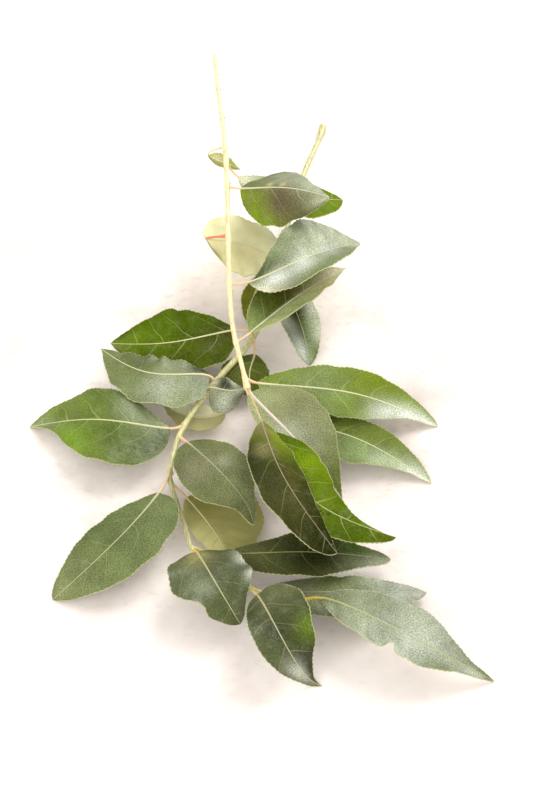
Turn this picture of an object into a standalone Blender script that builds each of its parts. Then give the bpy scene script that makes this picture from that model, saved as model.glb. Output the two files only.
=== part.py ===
"""Curry leaf sprig, lying down as cut.

Two leafy stalks (rachises) lie across each other, and their leaflets hold them up off the surface.
Each rachis is a tapering round rod along a smooth route. Each leaflet is one thin closed blade with
its short stalk, swept along its midrib. Lengths are in millimetres until mesh_object turns them to
metres. +Z is up, and the cut ends point to +Y.
"""

import math

import bpy
import numpy as np

MM = 0.001

# Driving dimensions, in millimetres.
BLADE_HALF_THICKNESS = 0.17
MIDRIB_HALF_HEIGHT = 0.40
STALK_RADIUS = 0.50
TOUCH_GAP = 0.45
STALK_ROWS = 4
BLADE_ROWS = 11
HALF_COLUMNS = 3
ROD_STEP = 3.2
ROD_BEVEL_RESOLUTION = 2
# What moves the sprig so that the origin is under the middle of its box.
OFFSET = np.array((4.0, -7.4, 0.0))

# Each rachis is a route from its cut end to its leafy tip, and (distance, radius) pairs along it.
RACHISES = {
    "front_rachis": {
        "route": [
            (-15, 106, 32),
            (-14, 94, 30),
            (-12, 75, 28),
            (-11, 58, 25),
            (-10.5, 41, 22),
            (-10, 24, 19),
            (-9, 11, 16.5),
            (-7, 2, 14),
            (-5, -7, 12),
        ],
        "radii": [(0, 0.66), (60, 0.72), (116, 0.62)],
    },
    "back_rachis": {
        "route": [
            (17, 110, 1.3),
            (16, 104, 2.2),
            (11, 85, 5),
            (4, 50, 7),
            (-3.5, 15.5, 9),
            (-9, 6, 8.5),
            (-15.5, -4, 8),
            (-22.5, -18, 7),
            (-25, -31, 6),
            (-24, -37, 6),
            (-20.5, -49, 6),
            (-18, -57, 6),
            (-11, -64, 6.5),
            (-3.5, -69, 7),
            (4, -71.5, 6.5),
            (9, -72.5, 6.5),
        ],
        "radii": [(0, 1.25), (3, 1.15), (5, 0.70), (60, 0.75), (120, 0.85), (145, 0.62), (207, 0.55)],
    },
}

# "at" is how far along its rachis a leaflet grows, from the cut end, with None for the one at the tip.
# side is where round the rachis it grows, if not on the side towards its base. base, middle and tip
# are points of the midrib. half_widths are the left and right half of the blade, seen from the base
# with its upper side up, and lifts are the angles by which they rise from level. peaks are where along
# the blade each half is widest, and rounds how round it starts (0.5) or how straight (1.0). roll turns
# the blade about its midrib, 180 being upside down, and twists adds to that at the base and at the tip.
# curl bends both halves up across their width, and ripple waves their rim: height and waves. drawn is
# how much each half narrows before the tip, ends how blunt (0.5) or sharp (1.0) its tip is, and knee is
# one more point of the midrib before the tip.
LEAFLETS = {
    "front_leaflet_1": dict(
        at=35, base=(-16.6, 72, 24), middle=(-12.1, 70.7, 22), tip=(-7.5, 70.2, 20),
        half_widths=(2.9, 2.9), roll=0, peaks=(0.4, 0.45), rounds=(0.8, 0.8), lifts=(10, 15),
    ),
    "front_leaflet_2": dict(
        at=40, base=(-8, 65, 22), middle=(8, 58, 21), tip=(21.5, 62.8, 15),
        half_widths=(7, 8), peaks=(0.5, 0.52), rounds=(0.8, 0.8),
    ),
    "front_leaflet_3": dict(
        at=49, base=(-7, 55, 26.6), middle=(5.6, 48, 33.2), tip=(17, 44, 33.5),
        half_widths=(11, 11.1), lifts=(-15, -10), roll=15, curl=-28, peaks=(0.34, 0.48),
        rounds=(0.55, 0.65),
    ),
    "front_leaflet_4": dict(
        at=66, base=(-16.7, 42, 20), middle=(-6, 44.5, 15), tip=(9, 39, 9),
        half_widths=(12, 11), roll=180,
    ),
    "front_leaflet_5": dict(
        at=82, base=(-4.8, 25, 20), middle=(10.4, 30, 24), tip=(25.8, 41, 19),
        half_widths=(11.8, 10), lifts=(12, 26), roll=4, twists=(34, -8),
        peaks=(0.6, 0.45), rounds=(1.4, 0.7),
    ),
    "front_leaflet_6": dict(
        at=101, base=(-4.4, 11.6, 14), middle=(6.8, 23.7, 14), tip=(22, 40.4, 10),
        half_widths=(8.5, 8), lifts=(22, 32),
    ),
    "front_leaflet_7": dict(
        at=112, base=(-2.3, -4.6, 11.8), middle=(21.5, -5.9, 9.5), tip=(45.6, -9.8, 0.2),
        half_widths=(8, 8.3), lifts=(2, 2), roll=8, peaks=(0.5, 0.42), drawn=(0.1, 0.5),
    ),
    "front_leaflet_8": dict(
        at=None, base=(-3.9, -8.8, 11.6), middle=(7.3, -24.6, 12.2), tip=(19.4, -41.6, 8),
        half_widths=(12.3, 5), lifts=(5, -15), peaks=(0.34, 0.4), rounds=(0.55, 0.65),
    ),
    "front_leaflet_9": dict(
        at=115, side=(-1, 0, 1), base=(-1.4, -22.1, 16.5), middle=(4.7, -47.7, 23), tip=(17.2, -63.4, 14),
        half_widths=(7, 8.5), lifts=(-9, -9), roll=-21, peaks=(0.45, 0.62), rounds=(0.7, 0.9),
    ),
    "front_leaflet_10": dict(
        at=113.5, side=(0.5, 0, 1), base=(1, -24.6, 14.8), middle=(11.5, -48.9, 17), tip=(32.4, -53.7, 8),
        half_widths=(9.5, 8), peaks=(0.33, 0.6), rounds=(0.75, 0.9), drawn=(0.6, 0.3),
    ),
    "front_leaflet_11": dict(
        at=115, side=(0, 0, -1), base=(-2, -12, 8.5), middle=(19.7, -17.3, 6), tip=(42.9, -29.6, 0.2),
        half_widths=(6.6, 9), lifts=(3, 3), roll=3, peaks=(0.56, 0.42), rounds=(0.9, 0.7),
        drawn=(0.1, 0.5),
    ),
    "back_leaflet_1": dict(
        at=69, base=(0, 40.5, 7), middle=(-3.3, 34.6, 5.5), tip=(-4.9, 24, 3),
        half_widths=(2.6, 3.5),
    ),
    "back_leaflet_2": dict(
        at=74.5, base=(3.4, 36, 8.5), middle=(9.5, 21, 7), tip=(11.8, 12.4, 0.2),
        half_widths=(6, 8), lifts=(35, 35), peaks=(0.55, 0.5), rounds=(0.9, 0.8),
    ),
    "back_leaflet_3": dict(
        at=95.5, base=(-8.3, 17.4, 9), middle=(-24.4, 13.5, 8.5), tip=(-42.7, 18, 3),
        half_widths=(11, 12), lifts=(-2, -2), roll=-4, peaks=(0.35, 0.5), rounds=(0.5, 0.8),
    ),
    "back_leaflet_4": dict(
        at=97.5, base=(-3.2, 11.4, 6), middle=(-4.5, 5, 6), tip=(-4, -2, 4),
        half_widths=(5.5, 8), peaks=(0.55, 0.55), rounds=(0.8, 0.8),
    ),
    "back_leaflet_5": dict(
        at=117, base=(-15.2, -0.3, 9.8), middle=(-29.2, -1.6, 12), tip=(-45, 12.4, 7),
        half_widths=(10.5, 8), lifts=(-10, -10), roll=4, peaks=(0.3, 0.4), rounds=(0.5, 0.7),
    ),
    "back_leaflet_6": dict(
        at=120, base=(-13.2, -4.6, 10.2), middle=(-10.1, -6.5, 11), tip=(-5.9, -4.8, 10),
        half_widths=(3.5, 6.5), lifts=(5, 5), roll=35, curl=-40,
    ),
    "back_leaflet_7": dict(
        at=121.5, base=(-11.3, -7.6, 4), middle=(-19.2, -9.1, 3.5), tip=(-27.7, -4.3, 3),
        half_widths=(4.5, 4.5), roll=180,
    ),
    "back_leaflet_8": dict(
        at=133, base=(-25.4, -16.8, 7.5), middle=(-42.1, -15.3, 9), tip=(-63, -10, 0.2),
        half_widths=(13.5, 11.5), lifts=(-4, -4), roll=-4, peaks=(0.3, 0.57), rounds=(0.5, 0.9),
        drawn=(0.55, 0.3),
    ),
    "back_leaflet_9": dict(
        at=137, base=(-20.6, -23, 9), middle=(-12.1, -36, 13), tip=(-3.2, -50.4, 9),
        half_widths=(9, 10), lifts=(-5, -5), peaks=(0.45, 0.5), rounds=(0.55, 0.5), drawn=(0.6, 0.6),
        knee=(-4.9, -45.8, 11),
    ),
    "back_leaflet_10": dict(
        at=149, base=(-27.5, -39.6, 8.5), middle=(-37.2, -55.1, 9), tip=(-53.2, -67.3, 0.2),
        half_widths=(11.2, 8), lifts=(4, -3), peaks=(0.27, 0.55), rounds=(0.45, 0.8), ends=(0.9, 0.75),
    ),
    "back_leaflet_11": dict(
        at=152, base=(-20.6, -38, 4.8), middle=(-13, -48.8, 3.6), tip=(-7.9, -60, 2.6),
        half_widths=(5, 14.6), roll=180,
    ),
    "back_leaflet_12": dict(
        at=174, base=(-12, -57.9, 6.9), middle=(8.8, -58.4, 8), tip=(31.1, -57.7, 4),
        half_widths=(6.3, 8.2), lifts=(5, 5), roll=2, peaks=(0.42, 0.35), rounds=(1.0, 0.6),
        ends=(0.55, 0.5), drawn=(0.45, 0.45),
    ),
    "back_leaflet_13": dict(
        at=175.5, base=(-17.4, -58.8, 8.4), middle=(-12.4, -70.9, 11.6), tip=(-6.5, -77.9, 4.5),
        half_widths=(10, 9.8), peaks=(0.48, 0.42), rounds=(0.6, 0.5), ripple=(1.0, 2.5),
        drawn=(0.3, 0.3),
    ),
    "back_leaflet_14": dict(
        at=194, base=(-2.3, -71.8, 8.1), middle=(4.1, -88.6, 12), tip=(13.4, -93.2, 0.2),
        half_widths=(9.8, 6.6), lifts=(20, 0), peaks=(0.3, 0.45), rounds=(0.45, 0.7), drawn=(0.3, 0.3),
        knee=(10.3, -92.4, 2),
    ),
    "back_leaflet_15": dict(
        at=195, base=(-1, -67.5, 4), middle=(19.8, -69, 5.5), tip=(39.8, -66.5, 2),
        half_widths=(5, 8), lifts=(3, 3), peaks=(0.4, 0.35),
    ),
    "back_leaflet_16": dict(
        at=None, base=(13.5, -73.4, 9), middle=(33.2, -85.5, 11), tip=(55.1, -92, 0.2),
        half_widths=(8.5, 6.8), peaks=(0.42, 0.35), rounds=(0.65, 0.6), drawn=(0.3, 0.3),
        ends=(0.8, 0.8),
    ),
}

USUAL_LEAFLET = dict(
    side=None, lifts=(0, 0), peaks=(0.4, 0.4), rounds=(0.65, 0.65),
    roll=0, twists=(0, 0), curl=0, ripple=(0, 0), drawn=(0, 0), ends=(None, None), knee=None,
)

# The finish of each kind of piece: red, green, blue, roughness.
CREAM_STALK = (0.78, 0.66, 0.38, 0.55)
GREY_GREEN_LEAF = (0.17, 0.24, 0.09, 0.50)
DARK_LEAF = (0.07, 0.10, 0.03, 0.45)
BRIGHT_LEAF = (0.20, 0.33, 0.02, 0.50)
PALE_UNDERSIDE = (0.40, 0.42, 0.17, 0.60)
LEAF_FINISHES = {
    "front_leaflet_2": BRIGHT_LEAF,
    "front_leaflet_4": PALE_UNDERSIDE,
    "front_leaflet_9": DARK_LEAF,
    "front_leaflet_10": BRIGHT_LEAF,
    "back_leaflet_3": DARK_LEAF,
    "back_leaflet_4": DARK_LEAF,
    "back_leaflet_7": PALE_UNDERSIDE,
    "back_leaflet_11": PALE_UNDERSIDE,
    "back_leaflet_12": DARK_LEAF,
}


def clear_scene():
    for obj in list(bpy.data.objects):
        bpy.data.objects.remove(obj, do_unlink=True)


def unit(vectors):
    return vectors / np.linalg.norm(vectors, axis=-1, keepdims=True)


def smooth_curve(points, samples=240):
    """Samples of the natural cubic spline through the points, with each point's own arc length."""
    points = np.array(points, float)
    spans = np.sqrt(np.linalg.norm(np.diff(points, axis=0), axis=1))
    knots = np.concatenate([[0.0], np.cumsum(spans)])
    count = len(points)
    matrix = np.eye(count)
    right = np.zeros((count, 3))
    for i in range(1, count - 1):
        before, after = spans[i - 1], spans[i]
        matrix[i, i - 1 : i + 2] = before, 2 * (before + after), after
        right[i] = 6 * ((points[i + 1] - points[i]) / after - (points[i] - points[i - 1]) / before)
    bends = np.linalg.solve(matrix, right)
    at = np.linspace(0.0, knots[-1], samples)
    span = np.clip(np.searchsorted(knots, at, side="right") - 1, 0, count - 2)
    width = spans[span][:, None]
    left = (knots[span + 1] - at)[:, None]
    gone = (at - knots[span])[:, None]
    curve = (bends[span] * left**3 + bends[span + 1] * gone**3) / (6 * width)
    curve += (points[span] / width - bends[span] * width / 6) * left
    curve += (points[span + 1] / width - bends[span + 1] * width / 6) * gone
    lengths = np.concatenate([[0.0], np.cumsum(np.linalg.norm(np.diff(curve, axis=0), axis=1))])
    return curve, lengths, np.interp(knots, at, lengths)


def along(curve, lengths, distances):
    """Points and unit directions of a sampled curve at the given distances along it."""
    directions = unit(np.gradient(curve, axis=0))
    places = np.stack([np.interp(distances, lengths, curve[:, k]) for k in range(3)], axis=-1)
    heads = np.stack([np.interp(distances, lengths, directions[:, k]) for k in range(3)], axis=-1)
    return places, unit(heads)


def rachis_radius(rachis, distance):
    distances, radii = zip(*RACHISES[rachis]["radii"])
    return np.interp(distance, distances, radii)


def stalk_start(rachis, at, base, side):
    """Where a leaflet's stalk begins: beside the rachis, towards its base or its side, or past its tip."""
    curve, lengths, _ = smooth_curve(RACHISES[rachis]["route"])
    distance = lengths[-1] if at is None else at
    (place,), (head,) = along(curve, lengths, np.array([float(distance)]))
    towards = unit(np.array(base, float) - place)
    radius = rachis_radius(rachis, distance)
    if at is None:
        spread = np.linalg.norm(towards - head * towards.dot(head))
        return place + head * (TOUCH_GAP + (radius + STALK_RADIUS) * spread)
    facing = towards if side is None else np.array(side, float)
    outward = unit(facing - head * facing.dot(head))
    return place + outward * (radius + TOUCH_GAP + STALK_RADIUS * abs(towards.dot(head)))


def side_directions(heads, middle_row, roll, twists, fractions):
    """The blade's sideways direction at each row, carried along the midrib without spin, then rolled."""
    sides = np.zeros_like(heads)
    sides[middle_row] = unit(np.cross(heads[middle_row], (0.0, 0.0, 1.0)))
    for step, last in ((1, len(heads) - 1), (-1, 0)):
        for row in range(middle_row + step, last + step, step):
            carried = sides[row - step]
            sides[row] = unit(carried - heads[row] * carried.dot(heads[row]))
    ups = np.cross(sides, heads)
    turn = np.interp(fractions, [0.0, 0.5, 1.0], [roll + twists[0], roll, roll + twists[1]])
    turn = np.radians(turn)[:, None]
    return sides * np.cos(turn) - ups * np.sin(turn), ups * np.cos(turn) + sides * np.sin(turn)


def half_width(fractions, peak, roundness, end):
    """0 at both ends of the blade and 1 at its widest place. end sets how blunt the tip is, if not None."""
    fall = end or roundness * (1 - peak) / peak
    if end:
        peak = roundness / (roundness + end)
    fractions = np.clip(fractions, 0.0, 1.0)
    return (fractions / peak) ** roundness * ((1 - fractions) / (1 - peak)) ** fall


def leaflet_points(name):
    """The upper and lower points of a leaflet's solid, row by row from its stalk to its tip."""
    spec = {**USUAL_LEAFLET, **LEAFLETS[name]}
    rachis = name.split("_")[0] + "_rachis"
    start = stalk_start(rachis, spec["at"], spec["base"], spec["side"])
    knee = [spec["knee"]] if spec["knee"] else []
    curve, lengths, marks = smooth_curve([start, spec["base"], spec["middle"], *knee, spec["tip"]])
    blade_start, blade_end = marks[1], lengths[-1]
    blade_steps = np.linspace(0.0, 1.0, BLADE_ROWS + 1)[1:] ** 1.15
    distances = np.concatenate([
        np.linspace(0.0, blade_start, STALK_ROWS + 1),
        blade_start + (blade_end - blade_start) * blade_steps,
    ])
    places, heads = along(curve, lengths, distances)
    fractions = np.clip((distances - blade_start) / (blade_end - blade_start), 0.0, 1.0)
    middle_row = STALK_ROWS + BLADE_ROWS // 2
    sides, ups = side_directions(heads, middle_row, spec["roll"], spec["twists"], fractions)

    across = np.linspace(0.0, 1.0, HALF_COLUMNS + 1)
    swell, waves = spec["ripple"]
    rim = swell * np.sin(2 * math.pi * waves * fractions) * np.sin(math.pi * fractions)
    bend = math.radians(spec["curl"])
    halves = []
    for side in (0, 1):
        sign = (-1, 1)[side]
        lift = math.radians(spec["lifts"][side])
        shape = half_width(fractions, spec["peaks"][side], spec["rounds"][side], spec["ends"][side])
        narrowing = np.clip((fractions - 0.55) / 0.35, 0.0, 1.0)
        shape *= 1 - spec["drawn"][side] * narrowing**2 * (3 - 2 * narrowing)
        width = np.maximum(spec["half_widths"][side] * shape, STALK_RADIUS * (1 - 0.6 * fractions))
        angles = lift + bend * (across[1:] + across[:-1]) / 2
        steps = np.diff(across)
        out = np.concatenate([[0.0], np.cumsum(np.cos(angles) * steps)])
        rise = np.concatenate([[0.0], np.cumsum(np.sin(angles) * steps)])
        half = places[:, None] + width[:, None, None] * (
            sign * sides[:, None] * out[None, :, None] + ups[:, None] * rise[None, :, None]
        )
        halves.append(half + ups[:, None] * (rim[:, None] * across**2)[..., None])
    middle = np.concatenate([halves[0][:, :0:-1], halves[1]], axis=1)

    columns = np.abs(np.linspace(-1.0, 1.0, 2 * HALF_COLUMNS + 1))
    rounded = np.sqrt(1 - columns**2)
    rod = STALK_RADIUS * rounded
    rib = np.where(columns == 0, MIDRIB_HALF_HEIGHT, BLADE_HALF_THICKNESS * (columns < 1))
    blend = np.clip(fractions / 0.08, 0.0, 1.0)[:, None]
    taper = (1 - 0.6 * fractions)[:, None]
    half_height = rod * (1 - blend) + rib * blend * np.where(columns == 0, taper, 1.0)
    lifted = ups[:, None] * half_height[..., None]
    return middle + lifted, middle - lifted


def closed_sheet(upper, lower):
    """Vertices and faces of a solid between two grids that meet along their side edges."""
    rows, columns = upper.shape[:2]
    vertices = [tuple(point) for point in upper.reshape(-1, 3)]
    under = {}
    for row in range(rows):
        for column in range(columns):
            if 0 < column < columns - 1:
                under[row, column] = len(vertices)
                vertices.append(tuple(lower[row, column]))
            else:
                under[row, column] = row * columns + column
    faces = []
    for row in range(rows - 1):
        for column in range(columns - 1):
            corners = [(row, column), (row, column + 1), (row + 1, column + 1), (row + 1, column)]
            faces.append([r * columns + c for r, c in corners])
            faces.append([under[corner] for corner in reversed(corners)])
    for row, flip in ((0, 1), (rows - 1, -1)):
        top = [row * columns + column for column in range(columns)]
        bottom = [under[row, column] for column in range(columns - 2, 0, -1)]
        faces.append((top + bottom)[::-flip])
    return vertices, faces


def material(name, colour):
    made = bpy.data.materials.new(name + "_finish")
    made.use_nodes = True
    shader = made.node_tree.nodes["Principled BSDF"]
    shader.inputs["Base Color"].default_value = (*colour[:3], 1.0)
    shader.inputs["Roughness"].default_value = colour[3]
    shader.inputs["Metallic"].default_value = 0.0
    made.diffuse_color = (*colour[:3], 1.0)
    return made


def mesh_object(name, vertices, faces, colour):
    mesh = bpy.data.meshes.new(name)
    mesh.from_pydata([tuple(MM * (OFFSET + vertex)) for vertex in vertices], [], faces)
    mesh.materials.append(material(name, colour))
    mesh.shade_smooth()
    obj = bpy.data.objects.new(name, mesh)
    bpy.context.scene.collection.objects.link(obj)
    return obj


def rachis_rod(name):
    """A rachis as a bevelled curve whose thickness follows its radii, with flat cut ends."""
    curve, lengths, _ = smooth_curve(RACHISES[name]["route"])
    distances = np.linspace(0.0, lengths[-1], int(lengths[-1] / ROD_STEP) + 1)
    places, _ = along(curve, lengths, distances)
    data = bpy.data.curves.new(name, "CURVE")
    data.dimensions = "3D"
    data.bevel_depth = MM
    data.bevel_resolution = ROD_BEVEL_RESOLUTION
    data.use_fill_caps = True
    spline = data.splines.new("POLY")
    spline.points.add(len(places) - 1)
    for point, place, distance in zip(spline.points, places, distances):
        point.co = (*(MM * (OFFSET + place)), 1.0)
        point.radius = rachis_radius(name, distance)
    data.materials.append(material(name, CREAM_STALK))
    obj = bpy.data.objects.new(name, data)
    bpy.context.scene.collection.objects.link(obj)
    return obj


def leaflet(name):
    vertices, faces = closed_sheet(*leaflet_points(name))
    return mesh_object(name, vertices, faces, LEAF_FINISHES.get(name, GREY_GREEN_LEAF))


def build():
    clear_scene()
    for name in RACHISES:
        rachis_rod(name)
    for name in LEAFLETS:
        leaflet(name)


build()
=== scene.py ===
"""Curry leaf sprig: the looks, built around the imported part.

Every leaflet is grown by one node tree from an open sheet and the line of its stalk and midrib, and
both rachises by another from their route. Lengths are in millimetres until a mesh is made.
"""

import math

import bpy
import numpy as np
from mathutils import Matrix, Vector


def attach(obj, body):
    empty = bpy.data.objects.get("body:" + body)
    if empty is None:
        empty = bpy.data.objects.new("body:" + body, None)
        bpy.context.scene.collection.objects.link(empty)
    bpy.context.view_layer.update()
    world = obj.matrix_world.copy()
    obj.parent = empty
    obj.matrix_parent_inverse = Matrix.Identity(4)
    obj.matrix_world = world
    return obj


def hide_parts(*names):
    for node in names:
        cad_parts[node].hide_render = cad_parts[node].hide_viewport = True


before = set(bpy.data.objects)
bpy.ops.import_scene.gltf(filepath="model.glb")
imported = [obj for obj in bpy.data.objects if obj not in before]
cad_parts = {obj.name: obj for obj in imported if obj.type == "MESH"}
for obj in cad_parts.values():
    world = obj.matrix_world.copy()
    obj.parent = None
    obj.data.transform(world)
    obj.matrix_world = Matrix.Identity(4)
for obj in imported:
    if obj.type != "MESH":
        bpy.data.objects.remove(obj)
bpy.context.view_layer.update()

MM = 0.001
CURVE_SAMPLES = 600

# Where the sprig's own zero is in the part's frame.
OFFSET = np.array((4.0, -7.4, 0.0))

# The blade. Its rows are crowded by this power towards its foot, and its columns lie at these shares of
# the half width, closer together at the rim. The rim wanders in and out by a share of the half width, in
# waves whose length is 2π times the wander length.
LEAF_THICKNESS = 0.24
ROW_STEP = 0.26
ROW_CROWDING = 1.15
COLUMNS = (0.0, 0.12, 0.25, 0.38, 0.50, 0.62, 0.73, 0.83, 0.90, 0.95, 0.98, 1.0)
LEAST_HALF_WIDTH = 0.12
WANDER = 0.015
WANDER_LENGTH = 1.1
TOOTH_PITCH = 1.25
TOOTH_DEPTH = 0.26
PUCKER = 0.30
MERGE_GAP = 0.004
# Between these shares of the blade's length a drawn-in half gets narrower.
DRAWN_FROM = 0.55
DRAWN_TO = 0.9
# Before its roll the blade is level across at this share of its length.
LEVEL_AT = 0.4
# Half of the strip, as a share of the half width, in which the two halves' tints meet.
SEAM = 0.06

# The side veins: how far apart they are, on the upper and on the lower skin, and how high the blade
# swells between them. For each mm out from the rib they lean this far towards the tip, and further out
# they loop towards it more. The right half's are shifted along the rib, and all of them stray.
VEIN_SPACING = 4.2
LOWER_VEIN_SPACING = 1.6
VEIN_RELIEF = 0.12
QUILT_SLANT = 0.6
VEIN_SLANT = 0.45
VEIN_LOOP = 0.06
VEIN_SHIFT = 1.9
VEIN_STRAY = 7.0

# The stalk and midrib, which are one rod. It flares where it grows out of the rachis: distances from
# there, and shares of the stalk's radius. Past the stalk it thins to the rib's radius at a share of the
# blade's length. Its axis lies under the skin by a share of its radius, which it comes up to gradually,
# and its colour turns into the rib's from before the blade's foot to past it.
STALK_RADIUS = 0.32
STALK_POINTS = 14
FLARE_AT = (0.0, 1.2, 3.0)
FLARE = (1.6, 1.5, 1.0)
RIB_RADIUS = 0.19
RIB_TIP_RADIUS = 0.06
RIB_POINTS = 60
RIB_SIDES = 10
RIB_FULL_AT = 0.35
RIB_END = 0.985
RIB_SUNK = 0.35
RIB_RISE = 2.0
RIB_COLOUR_FROM = -2
RIB_COLOUR_TO = 4
# How far inside the tip of its rachis the leaflet at the tip starts.
TIP_INSET = 0.5

# The rachises. They thicken where a leaflet grows, and a scar's centre is out from the axis by a share of
# the rod's radius.
ROD_STEP = 0.8
ROD_SIDES = 20
NODE_SWELL = 0.16
NODE_REACH = 1.1
SCAR_SEAT = 0.85
SCAR_FLATNESS = 0.55
RIDGE_HEIGHT = 0.05

# Each rachis is a route from its cut end to its leafy tip, and (distance, radius) pairs along it.
# scars are old leaf bases: distance from the cut end, angle round the rod in degrees, radius.
RACHISES = {
    "front_rachis": {
        "route": [
            (-15, 106, 32), (-14, 94, 30), (-12, 75, 28), (-11, 58, 25), (-10.5, 41, 22), (-10, 24, 19),
            (-9, 11, 16.5), (-7, 2, 14), (-5, -7, 12),
        ],
        "radii": [(0, 0.66), (60, 0.72), (116, 0.60)],
        "scars": [
            (7, 200, 0.42), (13, 160, 0.4), (24, 200, 0.45), (48, 180, 0.5), (84.5, 190, 0.6),
            (93, 180, 0.45),
        ],
    },
    "back_rachis": {
        "route": [
            (17, 110, 1.3), (16, 104, 2.2), (11, 85, 5), (4, 50, 7), (-3.5, 15.5, 9), (-9, 6, 8.5),
            (-15.5, -4, 8), (-22.5, -18, 7), (-25, -31, 6), (-24, -37, 6), (-20.5, -49, 6), (-18, -57, 6),
            (-11, -64, 6.5), (-3.5, -69, 7), (4, -71.5, 6.5), (9, -72.5, 6.5),
        ],
        "radii": [(0, 1.25), (3, 1.15), (5, 0.70), (60, 0.75), (120, 0.85), (145, 0.62), (207, 0.52)],
        "scars": [(95, 20, 0.5), (117, 30, 0.5), (133, 10, 0.5), (149, 200, 0.5)],
    },
}

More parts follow.
